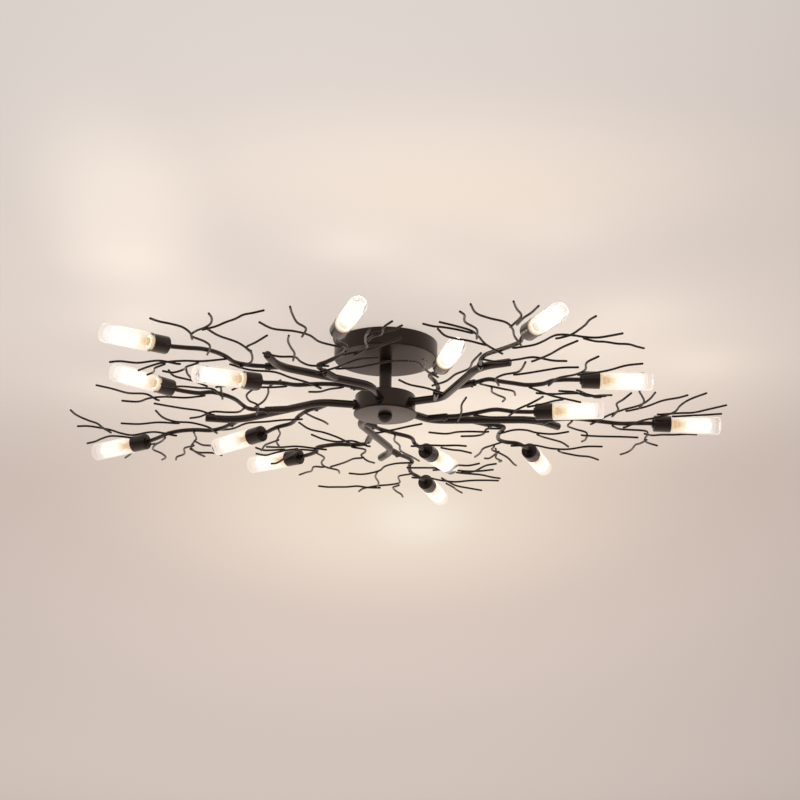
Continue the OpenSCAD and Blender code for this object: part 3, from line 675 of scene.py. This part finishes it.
def make_domed_nut():
    r, bore, top = FINIAL_D / 2, FINIAL_BORE / 2, COVER_LOW - PLAY
    low, deep = top - FINIAL_SKIRT, top - FINIAL_DEPTH
    outline = [(0, low - r)]
    outline += [(r * math.sin(math.radians(a)), low - r * math.cos(math.radians(a)))
                for a in range(10, 90, 10)]
    outline += [(r, low), (r, top - 0.4), (r - 0.4, top), (bore, top), (bore, deep), (0, deep)]
    nut = put_in_place(turned("domed_nut", outline, 64), Matrix())
    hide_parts("finial")
    in_finish(nut, "finial", "dark_metal", DARK_DOME)


# ---- arms ----

def make_main_arm(k):
    """A bent main tube with a closed end, its ring at the hub and three sleeves."""
    place = arm_place(k)
    line = [(p, 1.0) for p in main_tube_line()]
    tip, before = line[-1][0], line[-2][0]
    way = (tip - before).normalized()
    line = line[:-1] + [(tip - back * way, thickness) for back, thickness in FLAT_END]
    pieces = [put_in_place(swept("main_tube", [line], TUBE_D / 2, 32), place)]
    r, b = RING_D / 2, TUBE_D / 2 - 0.4
    ring = [(b, -0.6), (r, -0.6), (r, RING_T - 0.5), (r - 0.5, RING_T), (b, RING_T)]
    pieces.append(put_in_place(turned("hub_ring", ring, 48), place @ turned_by(0, 90, 0)))
    r, b = SLEEVE_D / 2, BRANCH_D / 2 + PLAY
    for j in LAMPS:
        long = sleeve_length(j)
        deep = long - SLEEVE_DEPTH
        outline = [(0, 0), (r, 0), (r, long - 0.5), (r - 0.5, long), (b + 0.2, long),
                   (b, long - 0.3), (b, deep), (0, deep)]
        pieces.append(put_in_place(turned("sleeve", outline, 32), sleeve_place(k, j)))
    arm = joined("main_arm_%d" % (k + 1), pieces)
    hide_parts("arm_tube_%d" % (k + 1))
    in_finish(arm, "frame", "dark_metal", DARK)


def make_lamp_arms(k):
    lines = [[(p, 1.0) for p in branch_line(j)] for j in LAMPS]
    tubes = put_in_place(swept("lamp_arms_%d" % (k + 1), lines, BRANCH_D / 2, 16), arm_place(k))
    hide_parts("branch_tubes_%d" % (k + 1))
    in_finish(tubes, "frame", "dark_metal", DARK)


def make_twigs(k):
    lines = []
    for group, bends in zip(TWIG, HAND):
        if bends[k] is not None:
            for twig in group:
                line = twig_line(twig, group[0][0], bends[k])
                lines.append(rounded_ends(line, TWIG_D / 2))
    twigs = put_in_place(swept("twig_spray_%d" % (k + 1), lines, TWIG_D / 2, 12), arm_place(k))
    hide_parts("twigs_%d" % (k + 1))
    in_finish(twigs, "frame", "dark_metal", DARK_TWIG)


# ---- lamps ----

def cup_outline():
    """A cup with a grooved boss and a low ring on its back."""
    r, boss, hole, bore = CUP_D / 2, BOSS_D / 2, BRANCH_D / 2 + PLAY, NECK_D / 2 + PLAY
    outline = [(hole, -1), (boss - 1.4, -1), (boss - 1.1, -0.4), (boss - 0.8, -1),
               (boss - 0.3, -1), (boss, -0.7), (boss, CUP_BACK), (boss + 0.8, CUP_BACK),
               (boss + 1.0, CUP_BACK - 0.5), (boss + 1.9, CUP_BACK - 0.5),
               (boss + 2.1, CUP_BACK), (r - 1.6, CUP_BACK)]
    outline += rounded_corner(r - 1.3, CUP_BACK + 1.3, 1.3, -90)
    outline += [(r, CUP_MOUTH - 0.3), (r - 0.3, CUP_MOUTH), (NECK_D / 2 + 0.3, CUP_MOUTH),
                (bore, CUP_MOUTH - 0.3), (bore, CUP_FLOOR), (hole, CUP_FLOOR)]
    return outline


def glass_outline():
    """A tube with a neck at its foot and a thick rounded end."""
    r, c, bore = GLASS_D / 2, GLASS_ROUND, GLASS_D / 2 - GLASS_WALL
    low, high = CUP_MOUTH + PLAY, CUP_MOUTH + PLAY + GLASS_L
    top = high - GLASS_END
    outline = [(NECK_BORE / 2, CUP_MOUTH - NECK_L), (NECK_D / 2, CUP_MOUTH - NECK_L),
               (NECK_D / 2, low), (r - 0.4, low), (r, low + 0.4)]
    outline += rounded_corner(r - c, high - c, c, 0, 6)
    outline += [(0, high), (0, top)]
    outline += reversed(rounded_corner(bore - 1.5, top - 1.5, 1.5, 0))
    outline += [(bore, low + 2), (NECK_BORE / 2, low + 2)]
    return outline


def make_cups():
    first = turned("lamp_cup", cup_outline(), 64)
    for k in ARMS:
        cups = [put_in_place(copy_of(first), lamp_place(k, j)) for j in LAMPS]
        cup = joined("lamp_cups_%d" % (k + 1), cups)
        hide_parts("cups_%d" % (k + 1))
        in_finish(cup, "frame", "dark_metal", DARK)
    bpy.data.objects.remove(first)


def make_glass():
    """The glass sleeves, frosted inside up to near their ends."""
    first = turned("glass", glass_outline(), 64)
    bore = GLASS_D / 2 - GLASS_WALL
    frosted_to = CUP_MOUTH + GLASS_L - GLASS_END - 1.6
    for k in ARMS:
        for j in LAMPS:
            node = "glass_%d%s" % (k + 1, LETTERS[j])
            place = lamp_place(k, j)
            glass = put_in_place(copy_of(first), place)
            glass.name = glass.data.name = node.replace("glass", "glass_sleeve")
            in_finish(glass, node, "clear_glass", CLEAR, GLOW)
            back = back_from(place)
            for face in glass.data.polygons:
                at = back @ face.center
                inside = math.hypot(at.x, at.y) < bore + 0.1
                if inside and CUP_MOUTH - NECK_L + 0.1 < at.z < frosted_to:
                    face.material_index = 1
            map_along_lamp(glass, place)
            glass.visible_shadow = False
            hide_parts(node)
    bpy.data.objects.remove(first)


def bulb_outline():
    """A slim bulb with a collar and a narrow foot."""
    foot, r, low = BULB_FOOT / 2, BULB_D / 2, BULB_LOW
    outline = [(0, low), (foot + 1.3, low), (foot + 1.3, low + 4), (foot, low + 5),
               (foot, low + 12), (foot + 1.5, low + 15), (r, low + 18)]
    outline += rounded_corner(0, BULB_TOP - r, r, 0, 8)
    return outline


def make_bulbs():
    first = turned("bulb", bulb_outline(), 32)
    for k in ARMS:
        bulbs = []
        for j in LAMPS:
            place = lamp_place(k, j)
            bulb = put_in_place(copy_of(first), place)
            map_along_lamp(bulb, place)
            bulbs.append(bulb)
        bulb = joined("lit_bulbs_%d" % (k + 1), bulbs)
        bulb.visible_shadow = False
        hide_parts("bulbs_%d" % (k + 1))
        in_finish(bulb, "frame", "bulb_glass", BULB)
    bpy.data.objects.remove(first)


def dress_the_rest():
    """Materials for the construction model's pieces that stay as they are."""
    for name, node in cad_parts.items():
        if node.hide_render:
            continue
        if name == "terminal_block" or name.startswith("sockets"):
            dress(node, CERAMIC)
        elif name == "wiring":
            dress(node, SLEEVING)
        elif name == "set_screws":
            dress(node, DARK)
        else:
            dress(node, STEEL)


# ---- ceiling, light and camera ----

# glows of light painted onto the ceiling's emission, in metres: middle and reach of an oval, and
# the colour of painted light that it adds at its middle
PAINTED_GLOWS = (((0.04, 0.3), (1.6, 2.8), (0.21, 0.15, 0.12)),
         ((-0.06, -1.12), (1.2, 1.1), (0.255, 0.265, 0.265)),
         ((-0.98, -0.22), (3.6, 0.97), (0.19, 0.195, 0.19)),
         ((-0.26, 2.93), (3.3, 4.2), (0.32, 0.26, 0.23)),
         ((0.0, 0.68), (0.56, 0.9), (0.18, 0.17, 0.11)),
         ((0.05, 0.77), (0.12, 0.24), (0.05, 0.08, 0.09)),
         ((0.05, -0.48), (0.45, 0.27), (0.12, 0.087, 0.045)),
         ((-0.27, -0.37), (0.13, 0.39), (0.14, 0.12, 0.09)),
         ((0.25, 0.12), (0.39, 0.56), (0.10, 0.085, 0.065)))

LAMP_LIGHT_AT = 55  # along the lamp from its cup's back

# the viewpoint: where it is, in metres; its turn, tilt and roll, in degrees; its
# focal length and the picture's width, in pixels, on a sensor in millimetres
VIEW_AT = Vector((0.0031, -2.5074, -0.9011))
VIEW_TURN, VIEW_TILT, VIEW_ROLL = 0.32, 18.37, 0.65
FOCAL_PX, PICTURE_PX, SENSOR = 2284, 800, 36


def painted_glow_spot(tree, where, middle, reach):
    """Mask of one painted glow: 1 at the middle of an oval on the ceiling, falling softly to 0 at
    its rim.
    """
    place = tree.nodes.new("ShaderNodeMapping")
    place.vector_type = "TEXTURE"
    place.inputs["Location"].default_value = (*middle, 0)
    place.inputs["Scale"].default_value = (*reach, 1)
    ball = tree.nodes.new("ShaderNodeTexGradient")
    ball.gradient_type = "SPHERICAL"
    soft = tree.nodes.new("ShaderNodeMapRange")
    soft.interpolation_type = "SMOOTHERSTEP"
    tree.links.new(where, place.inputs["Vector"])
    tree.links.new(place.outputs["Vector"], ball.inputs["Vector"])
    tree.links.new(ball.outputs["Fac"], soft.inputs["Value"])
    return soft.outputs["Result"]


def make_ceiling():
    """A pale ceiling that is seen from below only, warm where the lamps light it, with glows of
    their light painted into its emission.
    """
    deselect()
    bpy.ops.mesh.primitive_plane_add(size=30, location=(0, 0, 0.0006), rotation=(math.pi, 0, 0))
    ceiling = bpy.context.object
    ceiling.name = "ceiling"
    bpy.ops.object.transform_apply(location=True, rotation=True, scale=True)
    material, tree, shader = new_material("pale ceiling")
    shader.inputs["Base Color"].default_value = (0.25, 0.25, 0.25, 1)
    shader.inputs["Roughness"].default_value = 0.9
    shader.inputs["Specular IOR Level"].default_value = 0.0
    shader.inputs["Emission Strength"].default_value = 1
    where = tree.nodes.new("ShaderNodeTexCoord")
    tone = tree.nodes.new("ShaderNodeRGB")
    tone.outputs["Color"].default_value = (0.12, 0.115, 0.11, 1)
    tone = tone.outputs["Color"]
    # each oval adds a painted glow of light to the ceiling's emission colour
    for middle, reach, glow in PAINTED_GLOWS:
        add = tree.nodes.new("ShaderNodeMix")
        add.data_type, add.blend_type = "RGBA", "ADD"
        tree.links.new(painted_glow_spot(tree, where.outputs["Object"], middle, reach),
                       add.inputs["Factor"])
        tree.links.new(tone, add.inputs["A"])
        add.inputs["B"].default_value = (*glow, 1)
        tone = add.outputs["Result"]
    tree.links.new(tone, shader.inputs["Emission Color"])
    see_through = tree.nodes.new("ShaderNodeBsdfTransparent")
    side = tree.nodes.new("ShaderNodeNewGeometry")
    pick = tree.nodes.new("ShaderNodeMixShader")
    output = tree.nodes["Material Output"]
    tree.links.new(side.outputs["Backfacing"], pick.inputs["Fac"])
    tree.links.new(shader.outputs["BSDF"], pick.inputs[1])
    tree.links.new(see_through.outputs["BSDF"], pick.inputs[2])
    tree.links.new(pick.outputs["Shader"], output.inputs["Surface"])
    dress(ceiling, material)


def make_world():
    """A soft warm room, brightest low down beyond the light."""
    world = bpy.data.worlds.new("pale room")
    bpy.context.scene.world = world
    world.use_nodes = True
    nodes, links = world.node_tree.nodes, world.node_tree.links
    way = nodes.new("ShaderNodeTexCoord")
    toward = nodes.new("ShaderNodeVectorMath")
    toward.operation = "DOT_PRODUCT"
    toward.inputs[1].default_value = (0, 0.7, -0.71)
    spread = nodes.new("ShaderNodeMapRange")
    spread.interpolation_type = "SMOOTHSTEP"
    spread.inputs["From Min"].default_value = -0.1
    spread.inputs["From Max"].default_value = 1.0
    tone = nodes.new("ShaderNodeMix")
    tone.data_type = "RGBA"
    tone.inputs["A"].default_value = (0.36, 0.325, 0.305, 1)
    tone.inputs["B"].default_value = (1.2, 1.0, 0.89, 1)
    links.new(way.outputs["Generated"], toward.inputs[0])
    links.new(toward.outputs["Value"], spread.inputs["Value"])
    links.new(spread.outputs["Result"], tone.inputs["Factor"])
    links.new(tone.outputs["Result"], nodes["Background"].inputs["Color"])
    nodes["Background"].inputs["Strength"].default_value = 1


def make_lamp_lights():
    """The light that each lamp throws; the lamps' own glow is in their materials."""
    for k in ARMS:
        for j in LAMPS:
            light = bpy.data.lights.new("lamp_light", "POINT")
            light.energy = 0.1
            light.color = (1.0, 0.86, 0.68)
            light.shadow_soft_size = 0.008
            lamp = bpy.data.objects.new("lamp_light", light)
            bpy.context.scene.collection.objects.link(lamp)
            lamp.location = (Matrix.Scale(MM, 4) @ lamp_place(k, j)
                             @ Vector((0, 0, LAMP_LIGHT_AT)))
            lamp.visible_camera = False
            lamp.visible_transmission = False


def make_camera():
    turn, tilt, roll = (math.radians(a) for a in (VIEW_TURN, VIEW_TILT, VIEW_ROLL))
    ahead = Vector((math.sin(turn) * math.cos(tilt), math.cos(turn) * math.cos(tilt),
                    math.sin(tilt)))
    right = Vector((math.cos(turn), -math.sin(turn), 0))
    up = right.cross(ahead)
    right, up = (math.cos(roll) * right + math.sin(roll) * up,
                 -math.sin(roll) * right + math.cos(roll) * up)
    data = bpy.data.cameras.new("viewpoint")
    data.sensor_width = SENSOR
    data.lens = FOCAL_PX / PICTURE_PX * SENSOR
    data.clip_start, data.clip_end = 0.05, 100
    camera = bpy.data.objects.new("viewpoint", data)
    bpy.context.scene.collection.objects.link(camera)
    camera.matrix_world = Matrix(((right.x, up.x, -ahead.x, VIEW_AT.x),
                                  (right.y, up.y, -ahead.y, VIEW_AT.y),
                                  (right.z, up.z, -ahead.z, VIEW_AT.z),
                                  (0, 0, 0, 1)))
    bpy.context.scene.camera = camera


make_canopy()
make_stem()
make_hub()
make_hub_plate()
make_domed_nut()
for k in ARMS:
    make_main_arm(k)
    make_lamp_arms(k)
    make_twigs(k)
make_cups()
make_glass()
make_bulbs()
dress_the_rest()

make_ceiling()
make_world()
make_lamp_lights()
make_camera()
bpy.context.scene.view_settings.view_transform = "Standard"
